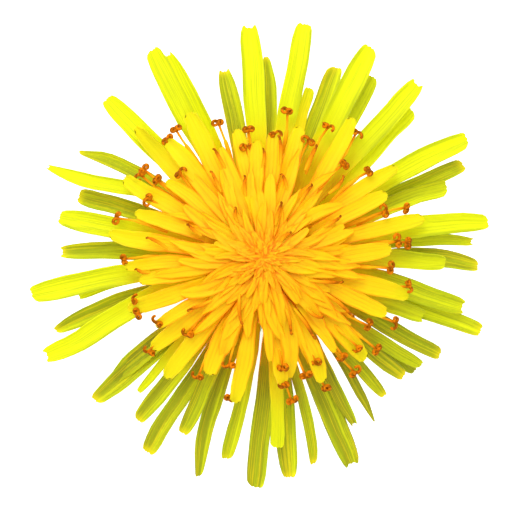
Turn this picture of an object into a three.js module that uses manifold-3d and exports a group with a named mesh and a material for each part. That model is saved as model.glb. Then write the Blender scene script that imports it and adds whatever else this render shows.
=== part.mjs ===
import * as THREE from 'three';
import { mergeVertices } from 'three/addons/utils/BufferGeometryUtils.js';
import Module from 'manifold-3d';

// A picked dandelion flower head, lying face up on a flat surface.
// Millimetres, +Z up. The origin is on that surface, under the axis of the head.
// Azimuths are in degrees, counter-clockwise from +X as seen from above.

// Stalk: a short hollow stub that flares where it meets the head.
const STALK_RADIUS = 2.2;
const STALK_FLARE_RADIUS = 2.8;
const STALK_BORE_RADIUS = 1.3;
const STALK_HEIGHT = 3.2;

// Touching pieces keep this much room between them.
const CLEARANCE = 0.35;

// Involucre: the receptacle, a row of upright bracts and a row that bends back to the surface.
const RECEPTACLE_BASE = STALK_HEIGHT + CLEARANCE;
const RECEPTACLE_TOP = 10.6;
const RECEPTACLE_RADIUS = 5.1;
const UPRIGHT_BRACTS = 16;
const UPRIGHT_BRACT_WIDTH = 2.1;
const UPRIGHT_BRACT_TOP = 11.2;
const BENT_BRACTS = 14;
const BENT_BRACT_WIDTH = 2.5;
const BENT_BRACT_REACH = 9.8;
const BRACT_THICKNESS = 0.7;

// Outer florets: a collar of floret tubes that the long ligules grow from, in three layers.
const COLLAR_BASE = RECEPTACLE_TOP + CLEARANCE;
const COLLAR_TOP = 13.4;
const COLLAR_RADIUS = 4.8;
const LAYER_ROOT_HEIGHTS = [12.0, 12.4, 12.9];
const LAYER_CROWN_HEIGHTS = [12.5, 13.3, 14.1];
const LAYER_TIP_HEIGHTS = [11.3, 12.0, 12.9];
const OUTER_ROOT_RADIUS = 3.6;
const OUTER_CURVE_STEPS = 6;

// Inner florets: a low core that the golden ligules and the styles grow from.
const CORE_BASE = COLLAR_TOP + CLEARANCE + 0.3;
const CORE_TOP = 17.8;
const CORE_RADIUS = 5.2;
const CROWN_HEIGHT = 19.3;
const CROWN_FALL = 0.019;
const MIDDLE_ROOT_RADIUS = 3.2;
const MIDDLE_STATIONS = [0, 0.28, 0.52, 0.78, 1];
const MIDDLE_LAYER_STEP = 0.3;
const STACK_FALL = 0.2;
const LOWEST_MIDDLE_TIP = 14.8;
const INNER_COUNT = 44;
const INNER_ARCH = 0.7;
const INNER_REACH = 11.2;
const CENTRE_REACH = 1.8;
const INNER_WIDTH = 1.6;
const CENTRE_WIDTH = 0.9;
const GOLDEN_ANGLE = 137.508;

// Ligules and styles.
const LIGULE_THICKNESS = 0.62;
const LIGULE_CHANNEL = 0.22;
const TOOTH_DEPTH = 0.45;
const STYLE_THICKNESS = 0.6;
const STIGMA_SPAN = 1.4;
const STYLE_ROOT_RADIUS = 3.4;
const STYLE_ROOT_HEIGHT = 16.0;
const STYLE_RISE = 0.4;

const SEED = 20;
const ROUND_SIDES = 20;

// Each long ligule: azimuth at its root, azimuth of its tip, reach, width, layer (0 lowest),
// the share of its width that is left at the tip, and how far it bows to its left a third and
// two thirds of the way along.
const OUTER_LIGULES = [
  [93.7, 93.6, 23.4, 2.2, 2, 0.75, 0, -0.1], [104.5, 101.8, 19.5, 1.85, 0, 0.6, 0, -0.1],
  [114.5, 115.5, 22.7, 2.05, 1, 0.45, -0.12, -0.05], [120.5, 118.4, 23.7, 1.95, 2, 0.75, 0, 0.1],
  [132.5, 134.7, 22.5, 2.15, 2, 0.65, -0.05, 0], [145, 150.3, 21.5, 1.4, 0, 0.3, -0.75, -0.95],
  [149, 157.2, 23.6, 1.5, 2, 0.35, -1.3, -0.35], [158.5, 161, 19.75, 1.8, 0, 0.8, -0.2, -0.15],
  [169.5, 168.4, 20.9, 2.15, 2, 0.65, 0, 0], [177.5, 178.2, 20.45, 1.8, 0, 0.65, -0.15, -0.3],
  [185, 188.75, 23.7, 2.15, 2, 0.75, -0.3, -0.28], [185, 191.2, 19.05, 1, 1, 0.8, -0.2, -0.3],
  [195, 199.6, 22.2, 1.8, 0, 0.5, -0.3, -0.55], [197.5, 204.2, 23.95, 2.15, 2, 0.75, -0.7, -0.15],
  [216, 218.3, 19.5, 1.9, 1, 0.55, 0, 0], [219.5, 219.8, 22.3, 2.3, 0, 0.55, 0, 0],
  [219, 226.9, 18.4, 0.9, 2, 0.7, 0, 0], [232.5, 232.4, 20.75, 1.65, 0, 0.7, 0, 0],
  [241.5, 238.9, 22.85, 1.8, 1, 0.8, 0.1, -0.05], [244.4, 245.2, 19.4, 1.5, 2, 0.75, 0, 0],
  [251.5, 253.2, 23, 1.6, 0, 0.45, -0.4, -0.62], [264, 259.7, 20.6, 1.4, 1, 0.8, 0.2, 0.1],
  [276.5, 267.8, 23.2, 2, 0, 0.8, 0.15, 0.05], [277.5, 274, 19, 1.3, 2, 1, 0.1, 0.15],
  [281.5, 276.5, 22.2, 2, 0, 0.7, 0.1, 0.1], [287, 283.8, 21.3, 1.15, 1, 0.65, 0, 0.3],
  [294, 293.1, 22.7, 2.15, 0, 0.7, 0, 0.1], [304, 298.6, 19, 1.3, 1, 0.5, 0, -0.1],
  [313, 303.9, 19.8, 0.95, 0, 0.2, 0.35, 0.35], [312.5, 311.2, 18.35, 1.3, 1, 0.6, 0, 0.05],
  [320, 319.9, 18.4, 1.55, 1, 0.7, 0, -0.05], [323, 323.1, 19.1, 1.5, 0, 0.6, 0, 0],
  [319.5, 325.6, 19.1, 1.3, 2, 0.7, 0, 0], [331.3, 331.4, 20.3, 1.6, 0, 0.8, 0, -0.1],
  [340.5, 340, 17.1, 1.7, 2, 0.8, 0, 0], [343, 341.4, 23.1, 1.75, 0, 0.75, 0, 0.15],
  [354, 346.2, 20.65, 2.1, 1, 0.75, 0.2, 0.12], [362, 358.6, 18.2, 1.8, 2, 0.75, 0.05, 0.1],
  [361, 358, 21.7, 1.8, 0, 0.6, 0.25, 0.62], [8.3, 4.7, 21.1, 1.2, 1, 0.6, 0.2, 0.4],
  [12, 9.4, 22.75, 2.05, 2, 0.7, 0.4, 0.45], [23, 21.3, 19.8, 1.8, 1, 0.9, 0.1, 0.25],
  [26, 25.2, 22.3, 1.7, 0, 0.75, 0.1, 0.1], [35, 30.5, 23.7, 2.2, 2, 0.8, 0.25, 0.35],
  [45, 45.7, 21.2, 2.1, 1, 0.9, -0.2, -0.1], [49.2, 48.9, 23.5, 2.15, 2, 0.75, 0.12, 0],
  [55.6, 58.8, 21.4, 1.5, 0, 0.75, -0.1, -0.1], [64.2, 63.2, 23.8, 2.4, 2, 0.7, 0, 0.05],
  [69.2, 69.4, 20.7, 1.9, 0, 0.75, 0, 0], [75.3, 74.9, 17.9, 1, 1, 1, 0, 0.05],
  [82.3, 80.2, 23.8, 2, 2, 0.85, 0.15, -0.05], [88, 89.2, 20.4, 1.5, 0, 0.4, -0.15, -0.3],
];

// Each middle ligule: azimuth, reach, width.
const MIDDLE_LIGULES = [
  [75, 13.5, 1.7], [57.6, 16.6, 1.6], [34.3, 16.1, 1.5], [27.5, 13.7, 1.6], [14.2, 16.5, 1.6],
  [4, 12.5, 1.7], [345.4, 14.9, 1.8], [335.1, 13.4, 1.7], [314.9, 14.2, 1.7], [295.3, 13.5, 1.7],
  [278.2, 12.7, 1.5], [258.8, 14.5, 1.6], [244.7, 12.7, 1.9], [230.5, 15.3, 1.8], [218.6, 14.3, 1.7],
  [200.5, 14.3, 1.7], [189.7, 12.4, 1.4], [171.4, 15.8, 1.6], [160.9, 13.6, 1.5], [150.1, 16.1, 1.8],
  [134.4, 18.3, 1.6], [129.8, 15.3, 1.7], [117.6, 16.4, 2], [102.3, 13.1, 1.5], [86, 12.6, 1.6],
  [141.7, 12.2, 1.4], [183, 13.8, 1.3], [211.6, 12.6, 1.3], [307, 11.5, 1.2], [94, 11.6, 1.4],
];

// Each open style: azimuth and distance of its curled stigma from the axis.
const STYLES = [
  [81.3, 15.2], [85, 12.7], [97.3, 13.2], [108.8, 14.6], [124.4, 15.9], [129, 15.6], [134.3, 12.2],
  [143, 13.5], [145.7, 15.2], [152.8, 13.3], [164.9, 15.5], [180.6, 14.2], [198.3, 13.8], [203.7, 14],
  [211, 12.6], [219.1, 15], [225.5, 12], [241.3, 13.7], [251.9, 12], [255.9, 14.6], [279.1, 13],
  [281.3, 14.7], [289.7, 12.6], [295.9, 14.6], [309.1, 12.8], [308.6, 14.8], [316.6, 13.2],
  [321.1, 14.7], [327.5, 12.6], [334.2, 14.8], [349.3, 15], [355.7, 12.9], [7.8, 13.7], [21.3, 13.2],
  [19.5, 15.3], [39.4, 13.8], [33.7, 15.7], [49.6, 12.6], [54.1, 15.8], [63.7, 14.9], [69, 12.8],
];

const wasm = await Module();
wasm.setup();

function seededRandom(seed) {
  const modulus = 4294967296;
  let state = seed;
  return () => {
    state = (state * 1664525 + 1013904223) % modulus;
    return state / modulus;
  };
}

function polar(radius, azimuth, height) {
  const angle = THREE.MathUtils.degToRad(azimuth);
  return new THREE.Vector3(radius * Math.cos(angle), radius * Math.sin(angle), height);
}

function solidFrom(geometry) {
  const bare = geometry.clone();
  bare.deleteAttribute('normal');
  bare.deleteAttribute('uv');
  const welded = mergeVertices(bare, 1e-4);
  const vertProperties = Float32Array.from(welded.attributes.position.array);
  const triVerts = Uint32Array.from(welded.index.array);
  return new wasm.Manifold(new wasm.Mesh({ numProp: 3, vertProperties, triVerts }));
}

// The outer skin of the largest body: sealed hollows are filled and loose scraps dropped.
function largestBody(solid) {
  const bodies = solid.decompose();
  return bodies.reduce((best, body) => (body.volume() > best.volume() ? body : best));
}

function fused(solids) {
  return largestBody(wasm.Manifold.union(solids));
}

function geometryFrom(solid) {
  const mesh = solid.getMesh();
  const geometry = new THREE.BufferGeometry();
  geometry.setAttribute('position', new THREE.BufferAttribute(Float32Array.from(mesh.vertProperties), 3));
  geometry.setIndex(new THREE.BufferAttribute(Uint32Array.from(mesh.triVerts), 1));
  geometry.computeVertexNormals();
  return geometry;
}

function turned(outline, sides) {
  const points = outline.map(([radius, height]) => new THREE.Vector2(radius, height));
  return new THREE.LatheGeometry(points, sides).rotateX(Math.PI / 2);
}

// Triangles between two rows of points, the first row nearer the root.
function zipRows(first, second, add) {
  let i = 0;
  let j = 0;
  while (i < first.length - 1 || j < second.length - 1) {
    const nextFirst = (i + 1) / (first.length - 1);
    const nextSecond = (j + 1) / (second.length - 1);
    if (nextSecond <= nextFirst) {
      add(first[i], second[j], second[j + 1]);
      j += 1;
    } else {
      add(first[i], second[j], first[i + 1]);
      i += 1;
    }
  }
}

// A blade along a curve. Each station gives its place on the curve, its width, how many points
// lie across it and how far those points are drawn back along the blade.
function blade(curve, side, stations, thickness, channel) {
  const positions = [];
  const triangles = [];
  const rows = stations.map(({ at, width, across, drawnBack }) => {
    const centre = curve.getPoint(at);
    const forward = curve.getTangent(at);
    const up = new THREE.Vector3().crossVectors(forward, side).normalize();
    const row = { top: [], bottom: [] };
    for (let i = 0; i < across; i += 1) {
      const share = (2 * i) / (across - 1) - 1;
      const back = drawnBack ? drawnBack[i] : 0;
      const middle = centre.clone()
        .addScaledVector(side, (share * width) / 2)
        .addScaledVector(forward, -back)
        .addScaledVector(up, channel * (Math.abs(share) - 0.5));
      for (const [face, sign] of [['top', 1], ['bottom', -1]]) {
        const point = middle.clone().addScaledVector(up, (sign * thickness) / 2);
        row[face].push(positions.length / 3);
        positions.push(point.x, point.y, point.z);
      }
    }
    return row;
  });
  const add = (a, b, c) => triangles.push(a, b, c);
  const addFlipped = (a, b, c) => triangles.push(a, c, b);
  for (let k = 0; k < rows.length - 1; k += 1) {
    const near = rows[k];
    const far = rows[k + 1];
    zipRows(near.top, far.top, add);
    zipRows(near.bottom, far.bottom, addFlipped);
    add(near.bottom[0], far.bottom[0], far.top[0]);
    add(near.bottom[0], far.top[0], near.top[0]);
    add(near.bottom.at(-1), far.top.at(-1), far.bottom.at(-1));
    add(near.bottom.at(-1), near.top.at(-1), far.top.at(-1));
  }
  const root = rows[0];
  for (let i = 0; i < root.top.length - 1; i += 1) {
    add(root.bottom[i], root.top[i], root.top[i + 1]);
    add(root.bottom[i], root.top[i + 1], root.bottom[i + 1]);
  }
  const tip = rows.at(-1);
  for (let i = 0; i < tip.top.length - 1; i += 1) {
    add(tip.bottom[i], tip.top[i + 1], tip.top[i]);
    add(tip.bottom[i], tip.bottom[i + 1], tip.top[i + 1]);
  }
  const geometry = new THREE.BufferGeometry();
  geometry.setAttribute('position', new THREE.Float32BufferAttribute(positions, 3));
  geometry.setIndex(triangles);
  return solidFrom(geometry);
}

// Sideways direction of a blade that runs from one point to another, seen from above.
function sideOf(from, to) {
  return new THREE.Vector3(from.y - to.y, to.x - from.x, 0).normalize();
}

// How far a bowed blade lies beside its straight run. The bows are its distances a third and two
// thirds of the way along, and both ends lie on the run.
function bowedAside(at, nearBow, farBow) {
  const third = 1 / 3;
  const peak = 2 * third ** 3;
  const near = at * (2 * third - at) * (1 - at);
  const far = at * (at - third) * (1 - at);
  return (nearBow * near + farBow * far) / peak;
}

function archedCurve(root, crownHeight, tip) {
  const crown = root.clone().lerp(tip, 0.5);
  crown.z = crownHeight;
  return new THREE.QuadraticBezierCurve3(root, crown, tip);
}

// Height of the head's domed top at a distance from the axis.
function domeHeight(radius) {
  return CROWN_HEIGHT - CROWN_FALL * radius * radius;
}

function makeStalk() {
  const outline = [
    [STALK_BORE_RADIUS, 0],
    [STALK_RADIUS, 0],
    [STALK_RADIUS, STALK_HEIGHT * 0.55],
    [STALK_FLARE_RADIUS, STALK_HEIGHT],
    [STALK_BORE_RADIUS, STALK_HEIGHT],
    [STALK_BORE_RADIUS, 0],
  ];
  return solidFrom(turned(outline, ROUND_SIDES));
}

function makeReceptacle() {
  const outline = [
    [0, RECEPTACLE_BASE],
    [STALK_FLARE_RADIUS, RECEPTACLE_BASE],
    [RECEPTACLE_RADIUS - 0.5, RECEPTACLE_BASE + 1.2],
    [RECEPTACLE_RADIUS, RECEPTACLE_BASE + 3],
    [RECEPTACLE_RADIUS, RECEPTACLE_TOP - 1.6],
    [RECEPTACLE_RADIUS - 0.9, RECEPTACLE_TOP],
    [0, RECEPTACLE_TOP],
  ];
  return solidFrom(turned(outline, ROUND_SIDES));
}

function makeUprightBract(azimuth) {
  const shoulder = RECEPTACLE_RADIUS + 0.15;
  const curve = new THREE.CatmullRomCurve3([
    polar(shoulder - 0.9, azimuth, RECEPTACLE_BASE + 1),
    polar(shoulder, azimuth, RECEPTACLE_BASE + 3),
    polar(shoulder + 0.2, azimuth, RECEPTACLE_TOP - 1.5),
    polar(shoulder + 0.75, azimuth, UPRIGHT_BRACT_TOP),
  ]);
  const stations = [
    { at: 0, width: UPRIGHT_BRACT_WIDTH * 0.7, across: 2 },
    { at: 0.35, width: UPRIGHT_BRACT_WIDTH, across: 2 },
    { at: 0.75, width: UPRIGHT_BRACT_WIDTH * 0.8, across: 2 },
    { at: 1, width: UPRIGHT_BRACT_WIDTH * 0.3, across: 2 },
  ];
  const side = polar(1, azimuth + 90, 0);
  return blade(curve, side, stations, BRACT_THICKNESS, 0);
}

function makeBentBract(azimuth) {
  const lowest = BRACT_THICKNESS * 0.25;
  const curve = new THREE.CatmullRomCurve3([
    polar(RECEPTACLE_RADIUS - 1.2, azimuth, RECEPTACLE_BASE + 1.3),
    polar(RECEPTACLE_RADIUS + 0.9, azimuth, RECEPTACLE_BASE + 2),
    polar(BENT_BRACT_REACH - 2.5, azimuth, RECEPTACLE_BASE + 0.9),
    polar(BENT_BRACT_REACH - 1.9, azimuth, RECEPTACLE_BASE - 1.5),
    polar(BENT_BRACT_REACH - 1.2, azimuth, lowest + 0.2),
    polar(BENT_BRACT_REACH, azimuth, lowest),
  ]);
  const stations = [
    { at: 0, width: BENT_BRACT_WIDTH * 0.7, across: 2 },
    { at: 0.22, width: BENT_BRACT_WIDTH, across: 3 },
    { at: 0.42, width: BENT_BRACT_WIDTH, across: 3 },
    { at: 0.62, width: BENT_BRACT_WIDTH * 0.85, across: 3 },
    { at: 0.84, width: BENT_BRACT_WIDTH * 0.7, across: 2 },
    { at: 1, width: BENT_BRACT_WIDTH * 0.35, across: 2 },
  ];
  const side = polar(1, azimuth + 90, 0);
  return blade(curve, side, stations, BRACT_THICKNESS, 0);
}

// Everything below the surface, to trim what rests on it flat.
function makeGround() {
  const size = 4 * BENT_BRACT_REACH;
  return solidFrom(new THREE.BoxGeometry(size, size, size).translate(0, 0, -size / 2));
}

function makeInvolucre() {
  const solids = [makeReceptacle()];
  for (let i = 0; i < UPRIGHT_BRACTS; i += 1) {
    solids.push(makeUprightBract((360 / UPRIGHT_BRACTS) * (i + 0.5)));
  }
  for (let i = 0; i < BENT_BRACTS; i += 1) {
    solids.push(makeBentBract((360 / BENT_BRACTS) * i));
  }
  return largestBody(fused(solids).subtract(makeGround()));
}

function makeCollar() {
  const outline = [
    [0, COLLAR_BASE],
    [COLLAR_RADIUS - 0.6, COLLAR_BASE],
    [COLLAR_RADIUS, COLLAR_BASE + 0.8],
    [COLLAR_RADIUS - 0.3, COLLAR_TOP],
    [0, COLLAR_TOP],
  ];
  return solidFrom(turned(outline, ROUND_SIDES));
}

// Five small teeth show at a ligule's tip: the tip row is drawn back between them.
function toothedStations(width, tipShare) {
  const notch = TOOTH_DEPTH;
  return [
    { at: 0, width: width * 0.4, across: 2 },
    { at: 0.3, width: width * 0.66, across: 3 },
    { at: 0.58, width: width * 0.93, across: 3 },
    { at: 0.86, width: width * (0.7 + 0.3 * tipShare), across: 3 },
    { at: 1, width: width * tipShare, across: 5, drawnBack: [notch * 0.4, notch, 0, notch, notch * 0.4] },
  ];
}

function makeOuterLigule([rootAzimuth, tipAzimuth, reach, width, layer, tipShare, nearBow, farBow]) {
  const root = polar(OUTER_ROOT_RADIUS, rootAzimuth, LAYER_ROOT_HEIGHTS[layer]);
  const tip = polar(reach, tipAzimuth, LAYER_TIP_HEIGHTS[layer]);
  const straight = archedCurve(root, LAYER_CROWN_HEIGHTS[layer], tip);
  const side = sideOf(root, tip);
  const points = straight.getPoints(OUTER_CURVE_STEPS).map((point, step) => (
    point.addScaledVector(side, bowedAside(step / OUTER_CURVE_STEPS, nearBow, farBow))
  ));
  const curve = new THREE.CatmullRomCurve3(points);
  return blade(curve, side, toothedStations(width, tipShare), LIGULE_THICKNESS, LIGULE_CHANNEL);
}

function makeOuterFlorets() {
  return fused([makeCollar(), ...OUTER_LIGULES.map(makeOuterLigule)]);
}

function makeCore() {
  const outline = [
    [0, CORE_BASE],
    [CORE_RADIUS - 0.8, CORE_BASE],
    [CORE_RADIUS, CORE_BASE + 0.9],
    [CORE_RADIUS * 0.85, CORE_BASE + 2.1],
    [CORE_RADIUS * 0.5, CORE_TOP - 0.5],
    [0, CORE_TOP],
  ];
  return solidFrom(turned(outline, ROUND_SIDES));
}

// A middle ligule follows the dome, lower under it the further it still has to run.
function makeMiddleLigule([azimuth, reach, width], index) {
  const lift = (index % 2) * MIDDLE_LAYER_STEP;
  const points = MIDDLE_STATIONS.map((at) => {
    const radius = THREE.MathUtils.lerp(MIDDLE_ROOT_RADIUS, reach, at);
    const top = Math.max(domeHeight(radius), LOWEST_MIDDLE_TIP);
    return polar(radius, azimuth, top - STACK_FALL * (reach - radius) + lift);
  });
  const curve = new THREE.CatmullRomCurve3(points);
  const stations = [
    { at: 0, width: width * 0.5, across: 2 },
    { at: 0.4, width: width * 0.9, across: 3 },
    { at: 0.8, width, across: 3 },
    { at: 1, width: width * 0.6, across: 3, drawnBack: [0.5, 0, 0.5] },
  ];
  return blade(curve, sideOf(points[0], points.at(-1)), stations, LIGULE_THICKNESS, LIGULE_CHANNEL);
}

// Inner ligules follow the golden angle, shorter and more upright towards the axis.
function makeInnerLigule(index, random) {
  const share = index / (INNER_COUNT - 1);
  const reach = THREE.MathUtils.lerp(INNER_REACH, CENTRE_REACH, share) + random() - 0.5;
  const width = THREE.MathUtils.lerp(INNER_WIDTH, CENTRE_WIDTH, share);
  const azimuth = index * GOLDEN_ANGLE + 8 * (random() - 0.5);
  const rootRadius = reach * 0.24;
  const coreFall = (CORE_TOP - CORE_BASE - 1.5) / CORE_RADIUS;
  const root = polar(rootRadius, azimuth, CORE_TOP - 0.5 - coreFall * rootRadius);
  const tip = polar(reach, azimuth, domeHeight(reach) + 0.4 * (random() - 0.5));
  const curve = archedCurve(root, Math.max(root.z, tip.z) + INNER_ARCH, tip);
  const stations = [
    { at: 0, width: width * 0.5, across: 2 },
    { at: 0.55, width, across: 2 },
    { at: 0.85, width: width * 0.8, across: 2 },
    { at: 1, width: width * 0.35, across: 2 },
  ];
  return blade(curve, sideOf(root, tip), stations, LIGULE_THICKNESS, 0);
}

function makeStyle([azimuth, distance]) {
  const root = polar(STYLE_ROOT_RADIUS, azimuth, STYLE_ROOT_HEIGHT);
  const tip = polar(distance, azimuth, domeHeight(distance) + STYLE_RISE);
  const curve = archedCurve(root, Math.max(root.z, tip.z) + STYLE_RISE, tip);
  const stations = [
    { at: 0, width: STYLE_THICKNESS, across: 2 },
    { at: 0.5, width: STYLE_THICKNESS, across: 2 },
    { at: 0.92, width: STYLE_THICKNESS, across: 2 },
    { at: 0.95, width: STIGMA_SPAN, across: 2 },
    { at: 1, width: STIGMA_SPAN, across: 2 },
  ];
  return blade(curve, sideOf(root, tip), stations, STYLE_THICKNESS, 0);
}

function makeInnerFlorets() {
  const random = seededRandom(SEED);
  const solids = [makeCore(), ...MIDDLE_LIGULES.map(makeMiddleLigule), ...STYLES.map(makeStyle)];
  for (let i = 0; i < INNER_COUNT; i += 1) {
    solids.push(makeInnerLigule(i, random));
  }
  return fused(solids);
}

function named(name, solid, color, roughness) {
  const material = new THREE.MeshStandardMaterial({ color, roughness, metalness: 0 });
  const mesh = new THREE.Mesh(geometryFrom(solid), material);
  mesh.name = name;
  return mesh;
}

const group = new THREE.Group();
group.add(named('scape', makeStalk(), 0xaebf7e, 0.55));
group.add(named('involucre', makeInvolucre(), 0x6f9440, 0.6));
group.add(named('outer_florets', makeOuterFlorets(), 0xf2ec1c, 0.6));
group.add(named('inner_florets', makeInnerFlorets(), 0xffc61f, 0.6));

export default group;
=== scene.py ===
"""A picked dandelion flower head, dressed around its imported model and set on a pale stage.

Laid out as an add-on and run as a script. Lengths in the lists below are millimetres, azimuths are
degrees counter-clockwise from +X as seen from above, and every finished mesh is in metres.
"""
import math
import random
from contextlib import contextmanager

import bmesh
import bpy
from bpy.props import FloatProperty, FloatVectorProperty, IntProperty, PointerProperty
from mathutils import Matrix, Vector


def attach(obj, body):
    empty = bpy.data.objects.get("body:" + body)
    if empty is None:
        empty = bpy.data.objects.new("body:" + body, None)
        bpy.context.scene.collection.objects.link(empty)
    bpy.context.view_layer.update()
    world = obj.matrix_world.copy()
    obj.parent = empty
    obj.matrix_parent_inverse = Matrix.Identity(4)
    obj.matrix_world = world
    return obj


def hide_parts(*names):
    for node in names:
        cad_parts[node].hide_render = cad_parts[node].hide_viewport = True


bl_info = {
    "name": "Dandelion flower head",
    "version": (1, 0, 0),
    "blender": (4, 5, 0),
    "location": "3D View > Sidebar > Dandelion",
    "description": "Makes the ligules, stigmas, bracts, stalk and stage of a dandelion flower head",
    "category": "Add Mesh",
}

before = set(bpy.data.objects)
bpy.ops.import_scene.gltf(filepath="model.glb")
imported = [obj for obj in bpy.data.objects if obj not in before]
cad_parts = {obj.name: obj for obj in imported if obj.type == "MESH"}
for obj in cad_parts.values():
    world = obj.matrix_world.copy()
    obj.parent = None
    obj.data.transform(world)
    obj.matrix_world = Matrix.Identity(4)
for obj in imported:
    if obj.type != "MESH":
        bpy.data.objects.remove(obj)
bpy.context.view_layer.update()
MM = 0.001
NEAR = 0.01 * MM  # a vertex closer than this to a line lies on it
GOLDEN_ANGLE = 137.508  # degrees from one inner ligule to the next
ROW_CROWDING = 1.25  # above 1, a blade's rows lie closer together near its tip
BLADE_STATIONS = (0.0, 0.28, 0.52, 0.78, 1.0)  # shares of its run where a blade is bent
STACK_FALL = 0.16  # fall of a middle ligule for every mm that it still has to run
ROSETTE_FALL = 0.09  # the same for an inner ligule
SHOULDER_HEIGHT = 14.8  # middle and inner ligules follow the dome down to this height only
ROOT_SINK = 0.6  # how much lower their roots lie
GAP_HALF_WIDTH = 4.5  # degrees to either side of a deep gap that inner ligules keep clear
STYLE_LENGTH = 5.5  # from the foot of a straight style to the fork of its stigmas
STYLE_RUN = 5.6  # from the foot of a bent style to its stigmas, as seen from above
SENSOR_WIDTH = 36  # of the camera

# Each long ligule: azimuth at its root, azimuth of its tip, reach, width, layer (0 lowest), share of
# the width left at the tip, shade tone, and how far it is bowed aside (counter-clockwise) at a third
# and at two thirds of its run. The shade tone paints shade per ligule over the lower ligules' own
# greener tone: 0 lemon, 0.45 lime in painted half shade, 1 olive in painted shade, and -1 gold,
# where a ligule is gilded instead of shaded.
OUTER_LIGULES = [
    (93.7, 93.6, 23.4, 2.2, 2, 0.75, 0.0, 0, -0.1),
    (104.5, 101.8, 19.5, 1.85, 0, 0.6, 0.65, 0, -0.1),
    (114.5, 115.5, 22.7, 2.05, 1, 0.45, 0.0, -0.12, -0.05),
    (120.5, 118.4, 23.7, 1.95, 2, 0.75, 0.0, 0, 0.1),
    (132.5, 134.7, 22.5, 2.15, 2, 0.65, 0.0, -0.05, 0),
    (145, 150.3, 21.5, 1.4, 0, 0.3, 0.55, -0.75, -0.95),
    (149, 157.2, 23.6, 1.5, 2, 0.35, 0.05, -1.3, -0.35),
    (158.5, 161, 19.75, 1.8, 0, 0.8, 0.75, -0.2, -0.15),
    (169.5, 168.4, 20.9, 2.15, 2, 0.65, 0.1, 0, 0),
    (177.5, 178.2, 20.45, 1.8, 0, 0.65, 0.6, -0.15, -0.3),
    (185, 188.75, 23.7, 2.15, 2, 0.75, 0.05, -0.3, -0.28),
    (185, 191.2, 19.05, 1.0, 1, 0.8, 0.15, -0.2, -0.3),
    (195, 199.6, 22.2, 1.8, 0, 0.5, 0.75, -0.3, -0.55),
    (197.5, 204.2, 23.95, 2.15, 2, 0.75, 0.0, -0.7, -0.15),
    (216, 218.3, 19.5, 1.9, 1, 0.55, 0.75, 0, 0),
    (219.5, 219.8, 22.3, 2.3, 0, 0.55, 0.75, 0, 0),
    (219, 226.9, 18.4, 0.9, 2, 0.7, -0.3, 0, 0),
    (232.5, 232.4, 20.75, 1.65, 0, 0.7, 0.8, 0, 0),
    (241.5, 238.9, 22.85, 1.8, 1, 0.8, 0.7, 0.1, -0.05),
    (244.4, 245.2, 19.4, 1.5, 2, 0.75, 0.55, 0, 0),
    (251.5, 253.2, 23.0, 1.6, 0, 0.45, 0.9, -0.4, -0.62),
    (264, 259.7, 20.6, 1.4, 1, 0.8, 0.45, 0.2, 0.1),
    (276.5, 267.8, 23.2, 2.0, 0, 0.8, 0.85, 0.15, 0.05),
    (277.5, 274, 19.0, 1.3, 2, 1.0, -0.5, 0.1, 0.15),
    (281.5, 276.5, 22.2, 2.0, 0, 0.7, 0.8, 0.1, 0.1),
    (287, 283.8, 21.3, 1.15, 1, 0.65, 0.6, 0, 0.3),
    (294, 293.1, 22.7, 2.15, 0, 0.7, 0.85, 0, 0.1),
    (304, 298.6, 19.0, 1.3, 1, 0.5, 0.95, 0, -0.1),
    (313, 303.9, 19.8, 0.95, 0, 0.2, 1.1, 0.35, 0.35),
    (312.5, 311.2, 18.35, 1.3, 1, 0.6, 0.65, 0, 0.05),
    (320, 319.9, 18.4, 1.55, 1, 0.7, 0.75, 0, -0.05),
    (323, 323.1, 19.1, 1.5, 0, 0.6, 0.9, 0, 0),
    (319.5, 325.6, 19.1, 1.3, 2, 0.7, 0.35, 0, 0),
    (331.3, 331.4, 20.3, 1.6, 0, 0.8, 0.8, 0, -0.1),
    (340.5, 340, 17.1, 1.7, 2, 0.8, 0.3, 0, 0),
    (343, 341.4, 23.1, 1.75, 0, 0.75, 0.5, 0, 0.15),
    (354, 346.2, 20.65, 2.1, 1, 0.75, 0.4, 0.2, 0.12),
    (362, 358.6, 18.2, 1.8, 2, 0.75, 0.2, 0.05, 0.1),
    (361, 358, 21.7, 1.8, 0, 0.6, 0.8, 0.25, 0.62),
    (8.3, 4.7, 21.1, 1.2, 1, 0.6, 0.45, 0.2, 0.4),
    (12, 9.4, 22.75, 2.05, 2, 0.7, 0.1, 0.4, 0.45),
    (23, 21.3, 19.8, 1.8, 1, 0.9, 0.3, 0.1, 0.25),
    (26, 25.2, 22.3, 1.7, 0, 0.75, 0.6, 0.1, 0.1),
    (35, 30.5, 23.7, 2.2, 2, 0.8, 0.0, 0.25, 0.35),
    (45, 45.7, 21.2, 2.1, 1, 0.9, 0.1, -0.2, -0.1),
    (49.2, 48.9, 23.5, 2.15, 2, 0.75, 0.0, 0.12, 0),
    (55.6, 58.8, 21.4, 1.5, 0, 0.75, 0.35, -0.1, -0.1),
    (64.2, 63.2, 23.8, 2.4, 2, 0.7, 0.0, 0, 0.05),
    (69.2, 69.4, 20.7, 1.9, 0, 0.75, 0.5, 0, 0),
    (75.3, 74.9, 17.9, 1.0, 1, 1.0, -0.9, 0, 0.05),
    (82.3, 80.2, 23.8, 2.0, 2, 0.85, 0.0, 0.15, -0.05),
    (88, 89.2, 20.4, 1.5, 0, 0.4, 0.7, -0.15, -0.3),
]

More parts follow.
